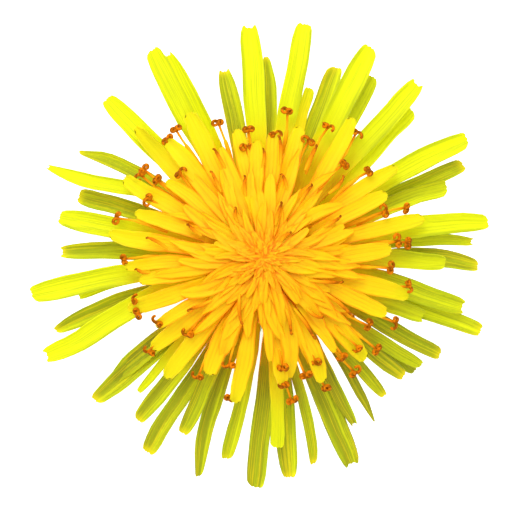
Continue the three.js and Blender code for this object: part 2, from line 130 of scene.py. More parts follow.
# Each middle ligule: azimuth, reach, width.
MIDDLE_LIGULES = [
    (75, 13.5, 1.7), (57.6, 16.6, 1.6), (34.3, 16.1, 1.5), (27.5, 13.7, 1.6), (14.2, 16.5, 1.6),
    (4, 12.5, 1.7), (345.4, 14.9, 1.8), (335.1, 13.4, 1.7), (314.9, 14.2, 1.7), (295.3, 13.5, 1.7),
    (278.2, 12.7, 1.5), (258.8, 14.5, 1.6), (244.7, 12.7, 1.9), (230.5, 15.3, 1.8), (218.6, 14.3, 1.7),
    (200.5, 14.3, 1.7), (189.7, 12.4, 1.4), (171.4, 15.8, 1.6), (160.9, 13.6, 1.5), (150.1, 16.1, 1.8),
    (134.4, 18.3, 1.6), (129.8, 15.3, 1.7), (117.6, 16.4, 2), (102.3, 13.1, 1.5), (86, 12.6, 1.6),
    (141.7, 12.2, 1.4), (183, 13.8, 1.3), (211.6, 12.6, 1.3), (307, 11.5, 1.2), (94, 11.6, 1.4),
]

# Deep gaps that no inner ligule crosses: azimuth, and the distance where each starts.
DEEP_GAPS = [(38.8, 9.3), (19, 9.2), (207.5, 7.2), (236.4, 10), (266.5, 7.2), (305.5, 11), (357.5, 9.5)]

# Each open style: azimuth and distance of its curled stigmas from the axis.
OPEN_STYLES = [
    (81.3, 15.2), (85, 12.7), (97.3, 13.2), (99.5, 11.5), (108.8, 14.6), (124.4, 15.9), (129, 15.6),
    (134.3, 12.2), (143, 13.5), (143.4, 15.2), (145.7, 15.2), (152.8, 13.3), (164.9, 15.5),
    (180.6, 14.2), (198.3, 13.8), (203.7, 14), (211, 12.6), (219.1, 15), (225.5, 10.9),
    (241.3, 13.7), (251.9, 11.4), (255.9, 14.6), (280.1, 11.3), (279.1, 13), (281.3, 14.7),
    (289.7, 12.6), (296.3, 11.8), (295.9, 14.6), (309.1, 12.8), (308.6, 14.8), (316.6, 13.2),
    (321.1, 14.7), (327.5, 12.6), (334.2, 14.8), (349.3, 15), (355.7, 12.9), (7.8, 13.7),
    (5.9, 14.7), (21.3, 13.2), (19.5, 15.3), (39.4, 13.8), (49.6, 12.6), (54.1, 15.8),
    (63.7, 14.9), (69, 12.8),
]

# Each closed style: where its dark tip and its foot are, as x, y, x, y from the axis.
CLOSED_STYLES = [
    (-5.2, 8.65, -4.2, 6.55), (-1.8, 8.15, -1.8, 6.05), (-2.7, 5.05, -2.6, 3.55),
    (1.7, 8.35, 2.2, 6.85), (1.8, 5.55, 1.1, 3.25), (4.8, 7.25, 3.5, 5.55), (5.3, 11.2, 4, 8.65),
    (-0.1, 10.9, -0.2, 8.85), (7.9, 8.15, 6.3, 6.35), (7.6, 4.15, 5.8, 3.05), (-7.5, 3.45, -6.1, 2.25),
    (-11.6, 2.15, -9.4, 0.95), (-4.95, 10.9, -3.8, 8.85), (1.5, 12.2, 1.6, 9.2), (2.7, 2.55, 1.6, 1.65),
    (-12.7, -0.95, -11.2, -1.35), (7.8, -2.35, 4.4, -2.15), (8.8, -5.85, 5.7, -3.25),
    (5.8, -5.85, 4.1, -4.85), (5, -8, 2.9, -4.85), (2.6, -7.5, 2.1, -4.9), (-2.2, -6.5, -2.4, -3.45),
    (-7.6, -5.05, -5.1, -4.05),
]

# Heights of the outer ligules in each layer, at the root, half way and at the tip, and the stops at
# each root as a distance from the axis and a height over that of the layer's roots.
LAYER_ROOTS = (12.0, 12.4, 12.9)
LAYER_CROWNS = (12.5, 13.3, 14.1)
LAYER_TIPS = (11.3, 12.0, 12.9)
ROOT_STOPS = ((3.5, -2.2), (4.9, -0.1), (6.0, 0.25))


def linear(red, green, blue):
    """A screen colour, 0 to 255, as the linear colour that a shader takes."""
    def channel(value):
        share = value / 255
        return share / 12.92 if share <= 0.04045 else ((share + 0.055) / 1.055) ** 2.4
    return (channel(red), channel(green), channel(blue))


def tint(label, text, screen):
    """A colour property with a screen colour as its default."""
    return FloatVectorProperty(
        name=label, description=text, default=linear(*screen), subtype="COLOR", size=3, min=0, max=1
    )


def distance(label, text, millimetres):
    """A length property with its default in millimetres."""
    return FloatProperty(
        name=label, description=text, default=millimetres * MM, unit="LENGTH", precision=5, min=0
    )


class HeadSizes(bpy.types.PropertyGroup):
    crown_height: distance("Crown height", "Height of the tips at the axis", 19.2)
    dome_fall: FloatProperty(
        name="Dome fall", description="Fall of the dome in mm per mm squared from the axis", default=0.019
    )
    petal_thickness: distance("Petal thickness", "Thickness of a ligule", 0.18)
    ripple_size: distance("Ripple size", "Length of one wave of the ligules", 5.0)
    inner_count: IntProperty(
        name="Inner ligules", description="How many inner ligules cover the dome", default=150, min=10
    )
    stalk_radius: distance("Stalk radius", "Outer radius of the stalk stub", 2.2)
    bore_radius: distance("Bore radius", "Radius of the hollow in the stalk", 1.3)


class HeadColours(bpy.types.PropertyGroup):
    lemon: tint("Lemon", "Tips of the outer ligules", (223, 226, 8))
    gold: tint("Gold", "Middle ligules", (246, 220, 12))
    amber: tint("Amber", "Ligules at the axis", (253, 208, 24))
    # Painted orange shadows in short dashes between ligule tips near the axis.
    shadow_dash_orange: tint("Ember", "Short dashes near the axis", (240, 112, 0))
    # Painted orange shade in the creases, along the rims and at the roots of ligules near the axis; the
    # floret tubes take it as a random mottle.
    crease_shade_and_mottle: tint("Crease", "Lengthwise creases and rims near the axis", (246, 146, 8))
    lemon_glow: tint("Lemon glow", "Light that comes through the outer ligules", (232, 234, 24))
    gold_glow: tint("Gold glow", "Light that comes through the inner ligules", (255, 230, 30))
    # Painted half shade on the lower ligules, over their own greener tone.
    lime_half_shade: tint("Lime", "Lower ligules in half shade", (184, 190, 10))
    rim: tint("Rim", "Fine lines and rims of the lemon ligules", (158, 172, 8))
    # Painted shade on the lowest ligules, over their own greener tone.
    olive_shade: tint("Olive", "Lowest ligules", (138, 136, 10))
    # This colour also paints the shade under the gold ligules.
    vein_and_shade: tint("Vein", "Dark veins of the lower ligules", (92, 102, 8))
    anther: tint("Anther", "Anther tubes", (244, 176, 16))
    stigma: tint("Stigma", "Curled stigmas", (214, 118, 2))
    burnt: tint("Burnt", "Darkest patches of the stigmas", (116, 62, 0))
    bract: tint("Bract", "Green of the bracts", (100, 126, 40))
    bract_light: tint("Light bract", "Lighter green of the bracts", (124, 150, 56))
    nerve: tint("Nerve", "Nerves of the bracts", (72, 98, 30))
    margin: tint("Margin", "Pale edge of the bracts", (168, 182, 110))
    bract_tip: tint("Bract tip", "Purple brown tips of the bracts", (82, 62, 48))
    stalk: tint("Stalk", "Pale green stalk", (158, 176, 108))
    flush: tint("Flush", "Reddish flush of the stalk", (168, 128, 92))
    flesh: tint("Flesh", "Cut face and bore of the stalk", (214, 222, 176))


class StageSettings(bpy.types.PropertyGroup):
    floor_colour: tint("Floor", "Colour of the floor", (250, 250, 248))
    floor_grain: tint("Floor grain", "Faint grain of the floor", (236, 236, 232))
    table_glow: FloatProperty(
        name="Table glow", description="Light from below, as on a light table", default=0.5, min=0
    )
    sky_strength: FloatProperty(name="Sky", description="Strength of the even light", default=1.3)
    key_power: FloatProperty(name="Key", description="Power of the soft key light in watts", default=3.0)
    lens: FloatProperty(name="Lens", description="Focal length of the camera in mm", default=150.0)
    view_width: distance("View width", "Width that the camera sees at the ligules", 51.2)
    view_height: distance("View height", "Height of the ligules that fill the view", 13.0)
    aim_x: FloatProperty(name="Aim X", description="Middle of the view", default=-0.8 * MM, unit="LENGTH")
    aim_y: FloatProperty(name="Aim Y", description="Middle of the view", default=0.25 * MM, unit="LENGTH")


def sizes():
    return bpy.context.scene.dandelion_sizes


def colours():
    return bpy.context.scene.dandelion_colours


def polar(radius, azimuth, height):
    """A point in metres from a distance and a height in millimetres."""
    angle = math.radians(azimuth)
    return Vector((radius * math.cos(angle), radius * math.sin(angle), height)) * MM


def dome_height(radius):
    """Height in millimetres of the head's domed top at a distance from the axis."""
    return sizes().crown_height / MM - sizes().dome_fall * radius * radius


def strap_stops(azimuths, root_radius, reach, share, lean, bow, lift, fall=STACK_FALL, dip=0.0):
    """Stops of a blade that follows the dome, lower under it the further it still has to run."""
    stops = []
    root_azimuth, tip_azimuth = azimuths
    for at in BLADE_STATIONS:
        radius = blend(root_radius, reach, at)
        azimuth = blend(root_azimuth, tip_azimuth, at)
        height = max(dome_height(radius), SHOULDER_HEIGHT) - fall * (reach - radius) + lift
        if at == 0:
            height -= ROOT_SINK
        if at == 1:
            height -= dip
        point = polar(radius, azimuth, height)
        aside = polar(1, azimuth + 90, 0) * bow * math.sin(math.pi * at)
        stops.append((point + aside, share, lean * at))
    return stops


def blend(low, high, share):
    return low + (high - low) * share


def width_at(outline, at):
    """Share of a blade's full width at a share of its length, from a short outline."""
    for (near, near_width), (far, far_width) in zip(outline, outline[1:]):
        if at <= far:
            step = (at - near) / (far - near)
            return blend(near_width, far_width, step * step * (3 - 2 * step))
    return outline[-1][1]


def take(piece, *others):
    """Selects only these pieces, the first of them active."""
    bpy.ops.object.select_all(action="DESELECT")
    for other in (piece, *others):
        other.select_set(True)
    bpy.context.view_layer.objects.active = piece


@contextmanager
def editing(piece):
    take(piece)
    bpy.ops.object.mode_set(mode="EDIT")
    yield
    bpy.ops.object.mode_set(mode="OBJECT")


def pick(piece, test):
    """Selects the vertices whose place passes the test, in edit mode."""
    mesh = bmesh.from_edit_mesh(piece.data)
    for vertex in mesh.verts:
        vertex.select_set(False)
    for vertex in mesh.verts:
        if test(vertex.co):
            vertex.select_set(True)
    mesh.select_flush(True)
    bmesh.update_edit_mesh(piece.data)


def apply_modifier(piece, kind, **settings):
    """Adds a modifier, sets it and applies it."""
    take(piece)
    modifier = piece.modifiers.new(kind.lower(), kind)
    for key, value in settings.items():
        setattr(modifier, key, value)
    bpy.ops.object.modifier_apply(modifier=modifier.name)


def blade_blank(name, outline, *, length, width, along, across, depth, ridge=0.0, teeth=None):
    """A straight blade along +X, shaped row by row from a grid, with its final thickness.

    Sizes are millimetres. The edges rise by depth, every other column rises by ridge, and teeth
    gives how far each column is drawn back at the tip. Rows lie closer together near the tip.
    """
    bpy.ops.object.select_all(action="DESELECT")
    bpy.ops.mesh.primitive_grid_add(
        x_subdivisions=along, y_subdivisions=across, size=length * MM, location=(length * MM / 2, 0, 0)
    )
    blank = bpy.context.object
    blank.name = name
    bpy.ops.object.transform_apply(location=True, rotation=False, scale=False)
    with editing(blank):
        pick(blank, lambda place: True)
        bpy.ops.transform.resize(value=(1, width / length, 1), center_override=(0, 0, 0))
        for column in range(across + 1):
            share = 2 * column / across - 1
            rise = depth * (share * share - 0.4) + ridge * (0.5 if column % 2 else -0.5)
            edge = share * width * MM / 2
            pick(blank, lambda place: abs(place.y - edge) < NEAR)
            bpy.ops.transform.translate(value=(0, 0, rise * MM))
        for row in range(along, -1, -1):
            at = row / along
            station = 1 - (1 - at) ** ROW_CROWDING
            share = width_at(outline, station)
            pick(blank, lambda place: abs(place.x - at * length * MM) < NEAR)
            bpy.ops.transform.resize(value=(1, share, share), center_override=(at * length * MM, 0, 0))
            bpy.ops.transform.translate(value=((station - at) * length * MM, 0, 0))
        if teeth:
            tip_width = width * MM * width_at(outline, 1)
            for column, back in enumerate(teeth):
                edge = (column / across - 0.5) * tip_width
                pick(blank, lambda place: abs(place.y - edge) < NEAR and place.x > length * MM - NEAR)
                bpy.ops.transform.translate(value=(-back * MM, 0, 0))
    apply_modifier(blank, "SOLIDIFY", thickness=sizes().petal_thickness, offset=0)
    return blank


def make_path():
    """The curve that blades are bent along, one after the other."""
    bpy.ops.object.select_all(action="DESELECT")
    bpy.ops.curve.primitive_bezier_curve_add()
    path = bpy.context.object
    path.name = "bending_path"
    path.data.dimensions = "3D"
    path.data.twist_mode = "Z_UP"
    path.data.resolution_u = 10
    path.data.use_radius = True
    path.data.use_stretch = True
    path.data.use_deform_bounds = True
    bpy.ops.object.location_clear()
    return path


def bend(blank, path, name, stops):
    """A copy of a blade, bent along stops of (point, share of width, turn in degrees)."""
    copy = blank.copy()
    copy.data = blank.data.copy()
    copy.name = name
    bpy.context.scene.collection.objects.link(copy)
    path.data.splines.clear()
    spline = path.data.splines.new("BEZIER")
    spline.bezier_points.add(len(stops) - 1)
    for knot, (point, share, turn) in zip(spline.bezier_points, stops):
        knot.co = point
        knot.radius = share
        knot.tilt = math.radians(turn)
        knot.handle_left_type = "AUTO"
        knot.handle_right_type = "AUTO"
    bpy.context.view_layer.update()
    apply_modifier(copy, "CURVE", object=path, deform_axis="POS_X")
    return copy


def mark(piece, name, value):
    """Gives every vertex of a piece the same number, for its finish to read."""
    attribute = piece.data.attributes.new(name, "FLOAT", "POINT")
    attribute.data.foreach_set("value", [value] * len(piece.data.vertices))


def arch(root, crown_height, tip, bows=(0, 0), count=5):
    """Points from root to tip over a handle at the crown height in mm.

    The bows, in mm, are how far it lies to the left of a straight run at a third and at two thirds.
    """
    handle = (root + tip) / 2
    handle.z = crown_height * MM
    run = tip - root
    side = Vector((-run.y, run.x, 0)).normalized() * MM
    third = 1 / 3
    peak = 2 * third ** 3
    points = []
    for step in range(count):
        at = step / (count - 1)
        point = root * (1 - at) ** 2 + handle * 2 * at * (1 - at) + tip * at * at
        near = at * (2 * third - at) * (1 - at)
        far = at * (at - third) * (1 - at)
        points.append(point + side * (bows[0] * near + bows[1] * far) / peak)
    return points


def join(name, copies):
    """Joins copies into one piece under a plain name."""
    take(*copies)
    bpy.ops.object.join()
    piece = bpy.context.object
    piece.name = name
    piece.data.name = name
    return piece


def ripple(piece, name, strength):
    """Waves blades sideways and up and down by up to about a third of the strength, in mm."""
    clouds = bpy.data.textures.new(name, "CLOUDS")
    clouds.noise_scale = sizes().ripple_size
    clouds.cloud_type = "COLOR"
    apply_modifier(
        piece, "DISPLACE", texture=clouds, direction="RGB_TO_XYZ", strength=strength * MM,
        texture_coords="LOCAL",
    )


def finish(piece, material, nodes, angle=50):
    """Smooths a piece, gives it its finish and ties it to the frame."""
    take(piece)
    bpy.ops.object.shade_smooth_by_angle(angle=math.radians(angle))
    piece.data.materials.clear()
    piece.data.materials.append(material)
    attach(piece, "root")
    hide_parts(*nodes)


def remove(*pieces):
    for piece in pieces:
        bpy.data.objects.remove(piece)


class Wire:
    """A socket that adds Math nodes when it is used in an expression."""

    def __init__(self, paint, socket):
        self.paint = paint
        self.socket = socket

    def _math(self, operation, first, second):
        return self.paint.add("ShaderNodeMath", {"operation": operation}, {0: first, 1: second})

    def __add__(self, other):
        return self._math("ADD", self, other)

    def __radd__(self, other):
        return self._math("ADD", other, self)

    def __sub__(self, other):
        return self._math("SUBTRACT", self, other)

    def __rsub__(self, other):
        return self._math("SUBTRACT", other, self)

    def __mul__(self, other):
        return self._math("MULTIPLY", self, other)

    def __rmul__(self, other):
        return self._math("MULTIPLY", other, self)

    def __truediv__(self, other):
        return self._math("DIVIDE", self, other)

    def __pow__(self, other):
        return self._math("POWER", self, other)

    def __abs__(self):
        return self._math("ABSOLUTE", self, 0.0)


class Paint:
    """A material whose nodes are added one by one."""

    def __init__(self, name):
        self.material = bpy.data.materials.new(name)
        self.material.use_nodes = True
        self.tree = self.material.node_tree
        self.tree.nodes.clear()

    def add(self, kind, settings=None, sockets=None, output=0):
        """Adds a node, sets it, feeds its sockets and returns one of its outputs."""
        node = self.tree.nodes.new(kind)
        for key, value in (settings or {}).items():
            if key == "stops":
                ramp = node.color_ramp
                while len(ramp.elements) < len(value):
                    ramp.elements.new(0.5)
                for element, (at, colour) in zip(ramp.elements, value):
                    element.position = at
                    element.color = colour
            else:
                setattr(node, key, value)
        for key, value in (sockets or {}).items():
            if isinstance(value, Wire):
                self.tree.links.new(value.socket, node.inputs[key])
            else:
                node.inputs[key].default_value = value
        return Wire(self, node.outputs[output])

    def place(self):
        return self.add("ShaderNodeTexCoord", output="Object")

    def attribute(self, name):
        """The number stored under this name at each vertex, or 0 where there is none."""
        return self.add("ShaderNodeAttribute", {"attribute_name": name}, output="Fac")

    def strip(self):
        """The shares of the way along and across a blade."""
        along, across, _ = self.axes(self.add("ShaderNodeUVMap", {"uv_map": "UVMap"}))
        return along, across

    def combine(self, x, y, z):
        return self.add("ShaderNodeCombineXYZ", sockets={0: x, 1: y, 2: z})

    def axes(self, vector):
        """The X, Y and Z of a vector."""
        wire = self.add("ShaderNodeSeparateXYZ", sockets={0: vector})
        node = wire.socket.node
        return [Wire(self, node.outputs[i]) for i in range(3)]

    def noise(self, vector, scale, detail=2.0):
        return self.add("ShaderNodeTexNoise", sockets={"Vector": vector, "Scale": scale, "Detail": detail})

    def stretch(self, vector, factors):
        return self.add("ShaderNodeVectorMath", {"operation": "MULTIPLY"}, {0: vector, 1: factors})

    def ease(self, value, low, high):
        """0 at low and 1 at high, smooth between them, whichever of the two is greater."""
        sockets = {"Value": value, "From Min": low, "From Max": high}
        return self.add("ShaderNodeMapRange", {"interpolation_type": "SMOOTHSTEP"}, sockets)

    def mix(self, share, first, second, blend_type="MIX"):
        """A colour between two colours, each a wire or three numbers."""
        def colour(value):
            return value if isinstance(value, Wire) else (*value, 1.0)
        settings = {"data_type": "RGBA", "blend_type": blend_type}
        sockets = {0: share, 6: colour(first), 7: colour(second)}
        return self.add("ShaderNodeMix", settings, sockets, output=2)

    def bump(self, height, strength, depth):
        sockets = {"Height": height, "Strength": strength, "Distance": depth}
        return self.add("ShaderNodeBump", sockets=sockets)

    def waves(self, value, count):
        """Rises to 1 at every 1/count of the value and falls to 0 between."""
        turn = value * (2 * math.pi * count)
        return self.add("ShaderNodeMath", {"operation": "COSINE"}, {0: turn}) * 0.5 + 0.5

    def surface(self, colour, roughness, gloss, more, glow=None, glow_share=0.0):
        """Ends the material with a Principled surface, and light through it if glow is given."""
        inputs = {"Base Color": colour, "Roughness": roughness, "Specular IOR Level": gloss, **more}
        shader = self.add("ShaderNodeBsdfPrincipled", sockets=inputs)
        if glow:
            through = self.add("ShaderNodeBsdfTranslucent", sockets={"Color": (*glow, 1.0)})
            shader = self.add("ShaderNodeMixShader", sockets={0: glow_share, 1: shader, 2: through})
        output = self.tree.nodes.new("ShaderNodeOutputMaterial")
        self.tree.links.new(shader.socket, output.inputs["Surface"])
        return self.material


def petal_finish(name, veins, vein_shade_strength, glow, glow_share, crease_shade_reach):
    """Satin petal: amber at the axis, gold, then lemon, with darker lengthwise veins and painted shade.

    Lime and olive paint shade on the lower ligules, brown paints shade under the gold ones, and
    orange paints shade in the creases and short dashes near the axis. A zone is the distances from
    the axis, in metres, between which one look gives way to the next.
    """
    gold_zone, lemon_zone = (0.0, 0.0065), (0.0082, 0.0155)
    shade_zone, shade_under_gold_zone = (0.0085, 0.014), (0.0105, 0.0145)
    line_zone, heart_zone = (0.0125, 0.0175), (0.001, 0.0045)
    crease_shade_zone = (crease_shade_reach - 0.005, crease_shade_reach)
    shades = colours()
    paint = Paint(name)
    place = paint.place()
    x, y, _ = paint.axes(place)
    from_axis = (x * x + y * y) ** 0.5
    along, across = paint.strip()
    tone, gilt, seed = (paint.attribute(label) for label in ("tone", "gilt", "seed"))
    shift = seed * 60.0
    patches = paint.noise(place, 420.0, 3.0)
    streaks = paint.noise(place, 2600.0, 2.0)
    fibre = paint.noise(paint.combine(along * 1.8, across * 17.0, shift), 1.0, 3.0)
    band = paint.noise(paint.combine(along * 1.4, across * 3.5, shift + 9.0), 1.0, 1.0)
    shadow_dash_noise = paint.noise(paint.combine(along * 5.0, across * 2.5, shift + 21.0), 1.0, 1.0)

    gold_run = from_axis + (patches - 0.5) * 0.003 + (seed - 0.5) * 0.005
    warm = paint.mix(paint.ease(gold_run, *gold_zone), shades.amber, shades.gold)
    lemon_run = from_axis + (patches - 0.5) * 0.005 - gilt * 0.006
    bright = paint.mix(paint.ease(lemon_run, *lemon_zone), warm, shades.lemon)

    # Painted shade on the lower ligules, by their shade tone: darker on the half turned away from the key
    # light, in broad uneven bands, lime in half shade and olive in deep shade, over their own greener
    # tone.
    shaded_side = (across - 0.5) * ((x + y * 1.4) / from_axis)
    uneven_shade = 1.0 + shaded_side * 0.9 + (0.5 - band) * 2.2
    depth = tone * paint.ease(from_axis, *shade_zone) * uneven_shade
    lime_shaded = paint.mix(paint.ease(depth, 0.0, 0.5), bright, shades.lime_half_shade)
    shaded = paint.mix(paint.ease(depth, 0.4, 1.05), lime_shaded, shades.olive_shade)

    vein_and_shade = paint.waves(across, veins) ** 6.0
    fine = paint.waves(across, veins * 3) ** 3.0
    line = (vein_and_shade * 0.5 + fine * 0.2) * paint.ease(streaks, 0.3, 0.6) + paint.ease(fibre, 0.54, 0.6) * 0.85
    veined = paint.mix(line * paint.ease(depth, 0.1, 0.6), shaded, shades.vein_and_shade)

    from_middle = abs(across - 0.5)
    rim = paint.ease(from_middle, 0.32, 0.44) * paint.ease(band, 0.42, 0.56)
    tip = paint.ease(along + (fibre - 0.5) * 0.1, 0.9, 0.99)
    outward = paint.ease(from_axis, *line_zone)
    edged = paint.mix(rim * 0.8 * outward * (1.0 - tip), veined, shades.rim)
    streaked = paint.mix(paint.ease(fibre, 0.53, 0.6) * 0.62 * outward, edged, shades.rim)

    gold_line = paint.ease(fibre, 0.46, 0.4) * paint.ease(depth, 0.2, 0.7)
    threaded = paint.mix(gold_line * 0.45, streaked, shades.gold)
    half_shaded = paint.ease(tone, 0.3, 0.6) * (1.0 - paint.ease(tone, 0.78, 0.84))
    gilded = paint.mix(tip * half_shaded * 0.55, threaded, shades.gold)

    # Painted shade where the gold ligules overhang the lower ones near the axis: browned by the anther
    # colour, then darkened towards the vein colour.
    shade_under_gold = tone * (1.0 - paint.ease(from_axis, *shade_under_gold_zone))
    shade_browned = paint.mix(shade_under_gold * 0.4, gilded, shades.anther, "MULTIPLY")
    shadowed = paint.mix(shade_under_gold * 0.5, shade_browned, shades.vein_and_shade)

    # Painted orange shade in the creases between ligules near the axis: along their edges, veins and
    # roots, and in fine streaks.
    edge = paint.ease(from_middle, 0.38, 0.5)
    near_root_shade = 1.0 - paint.ease(along, 0.2, 0.7)
    crease_shade = edge * 0.6 + vein_and_shade * vein_shade_strength + near_root_shade * 0.15 + paint.ease(fibre, 0.54, 0.64) * 0.45
    inward = 1.0 - paint.ease(from_axis, *crease_shade_zone)
    crease_shaded = paint.mix(crease_shade * inward * paint.ease(patches, 0.25, 0.6), shadowed, shades.crease_shade_and_mottle)
    # Painted orange shadows, in short dashes, between the ligule tips near the axis.
    heart = 1.0 - paint.ease(from_axis, *heart_zone)
    shadow_dashed = paint.mix(paint.ease(shadow_dash_noise, 0.5, 0.6) * heart * 0.85, crease_shaded, shades.shadow_dash_orange)

    height = (1.0 - vein_and_shade) * 0.6 + (1.0 - fine) * 0.15 + streaks * 0.25
    bumps = {"Normal": paint.bump(height, 0.35, 0.0001)}
    return paint.surface(shadow_dashed, 0.52 + patches * 0.12, 0.2, bumps, glow, glow_share * (1.0 - tone * 0.45))


def core_finish():
    """Golden floret tubes, mottled with orange."""
    shades = colours()
    paint = Paint("floret_tubes")
    mottle = paint.noise(paint.place(), 1800.0, 2.0)
    colour = paint.mix(paint.ease(mottle, 0.35, 0.65), shades.anther, shades.crease_shade_and_mottle)
    bumps = {"Normal": paint.bump(mottle, 0.5, 0.0001)}
    return paint.surface(colour, 0.65, 0.2, bumps)


def style_finish():
    """Golden anther tube, orange style and brown orange stigmas, with grains of pollen."""
    shades = colours()
    paint = Paint("style")
    place = paint.place()
    along = paint.attribute("along")
    grains = paint.noise(place, 6000.0, 2.0)
    dark = paint.ease(paint.noise(place, 2600.0, 1.0), 0.4, 0.56)
    body = paint.mix(paint.ease(along + (grains - 0.5) * 0.1, 0.6, 0.92), shades.anther, shades.stigma)
    burnt = paint.mix(dark * paint.ease(along, 0.8, 0.95) * 0.8, body, shades.burnt)
    ended = paint.mix(paint.ease(along, 0.95, 0.99) * 0.5, burnt, shades.burnt)
    bumps = {"Normal": paint.bump(grains, 0.6, 0.00006)}
    return paint.surface(ended, 0.6 + grains * 0.15, 0.05, bumps, shades.anther, 0.15)


def bract_finish():
    """Green bract mottled with lighter green, with a pale margin, fine nerves and a purple brown tip."""
    shades = colours()
    paint = Paint("bract")
    place = paint.place()
    along, across = paint.strip()
    mottle = paint.noise(place, 900.0, 3.0)
    nerves = paint.waves(across, 7) ** 3.0
    edge = paint.ease(abs(across - 0.5), 0.33, 0.48)
    green = paint.mix(mottle, shades.bract, shades.bract_light)
    lined = paint.mix(nerves * 0.35, green, shades.nerve)
    edged = paint.mix(edge * 0.7, lined, shades.margin)
    tipped = paint.mix(paint.ease(along + (mottle - 0.5) * 0.2, 0.8, 1.0) * 0.8, edged, shades.bract_tip)
    bumps = {"Normal": paint.bump((1.0 - nerves) * 0.5 + mottle * 0.5, 0.5, 0.00012)}
    return paint.surface(tipped, 0.5 + mottle * 0.15, 0.3, bumps)


def receptacle_finish():
    """Smooth green receptacle with a faint mottle."""
    shades = colours()
    paint = Paint("receptacle")
    mottle = paint.noise(paint.place(), 700.0, 3.0)
    bumps = {"Normal": paint.bump(mottle, 0.4, 0.0001)}
    return paint.surface(paint.mix(mottle, shades.bract, shades.stalk), 0.55, 0.3, bumps)


def stalk_finish():
    """Pale green stalk with a reddish flush in lengthwise streaks, and pale flesh where it is cut and
    hollow.
    """
    shades = colours()
    paint = Paint("stalk")
    place = paint.place()
    x, y, z = paint.axes(place)
    from_axis = (x * x + y * y) ** 0.5
    mottle = paint.noise(paint.stretch(place, (1.0, 1.0, 0.25)), 1400.0, 3.0)
    flush = paint.ease(mottle, 0.5, 0.75) * 0.45
    skin = paint.mix(flush, shades.stalk, shades.flush)
    shell = sizes().stalk_radius - 0.12 * MM
    outside = paint.ease(from_axis, shell - 0.06 * MM, shell)
    above_cut = paint.ease(z, 0.0, 0.08 * MM)
    colour = paint.mix(outside * above_cut, shades.flesh, skin)
    bumps = {"Normal": paint.bump(mottle, 0.4, 0.0001)}
    return paint.surface(colour, 0.45 + mottle * 0.15, 0.35, bumps)


def floor_finish():
    """Matt white floor with a faint grain, lit from below."""
    settings = bpy.context.scene.dandelion_stage
    paint = Paint("pale_floor")
    grain = paint.noise(paint.place(), 60.0, 2.0)
    colour = paint.mix(grain * 0.06, settings.floor_colour, settings.floor_grain)
    light = {"Emission Color": (1, 1, 1, 1), "Emission Strength": settings.table_glow}
    return paint.surface(colour, 0.9, 0.1, light)


class DANDELION_OT_outer_ligules(bpy.types.Operator):
    """Adds the long outer ligules in three layers, each with small teeth at its tip"""
    bl_idname = "dandelion.outer_ligules"
    bl_label = "Outer ligules"

    def execute(self, context):
        rng = random.Random(11)
        outline = [(0, 0.28), (0.1, 0.34), (0.4, 0.82), (0.7, 1), (0.9, 0.97), (1, 0.8)]
        tooth_rows = (
            [0.5, 0.16, 0.14, 0.04, 0.1, 0.02, 0.14, 0.06, 0.02, 0.14, 0.46],
            [0.42, 0, 0.1, 0.26, 0.24, 0.16, 0.24, 0.2, 0.02, 0.06, 0.5],
            [0.36, 0.08, 0, 0.1, 0.06, 0.16, 0.06, 0.12, 0.2, 0.3, 0.56],
            [0.54, 0.3, 0.16, 0.06, 0.12, 0, 0.04, 0.12, 0.04, 0.1, 0.36],
        )
        full_width, last = 2.0, 5
        blanks = [
            blade_blank("ligule", outline, length=19, width=full_width, along=16, across=10,
                        depth=0.26, ridge=0.025, teeth=teeth)
            for teeth in tooth_rows
        ]
        path = make_path()
        copies = []
        for number, row in enumerate(OUTER_LIGULES):
            root_azimuth, tip_azimuth, reach, width, layer, tip_share, tone, *bows = row
            share = width / full_width
            tip = polar(reach, tip_azimuth, LAYER_TIPS[layer] + rng.uniform(-0.35, 0.25))
            base, shoulder, start = (
                polar(radius, root_azimuth, LAYER_ROOTS[layer] + rise) for radius, rise in ROOT_STOPS
            )
            lean = rng.uniform(-8, 8)
            points = arch(start, LAYER_CROWNS[layer] + rng.uniform(-0.1, 0.2), tip, bows, last + 1)
            stops = [(base, share, 0), (shoulder, share, 0)]
            for step, point in enumerate(points[1:], 1):
                narrowing = tip_share / outline[-1][1] if step == last else 1
                wave = 1 + rng.uniform(-0.05, 0.05)
                stops.append((point, share * narrowing * wave, lean * (step / last)))
            copies.append(bend(rng.choice(blanks), path, f"ligule_{number}", stops))
            # A positive shade tone is painted shade; a negative one gilds the ligule.
            mark(copies[-1], "tone", max(tone, 0))
            mark(copies[-1], "gilt", max(-tone, 0))
            mark(copies[-1], "seed", rng.random())
        piece = join("outer_ligules", copies)
        ripple(piece, "outer_ripple", 0.4)
        material = petal_finish("outer_petal", 5, 0.2, colours().lemon_glow, 0.45, 0.0145)
        finish(piece, material, ["outer_florets"])
        remove(path, *blanks)
        return {"FINISHED"}


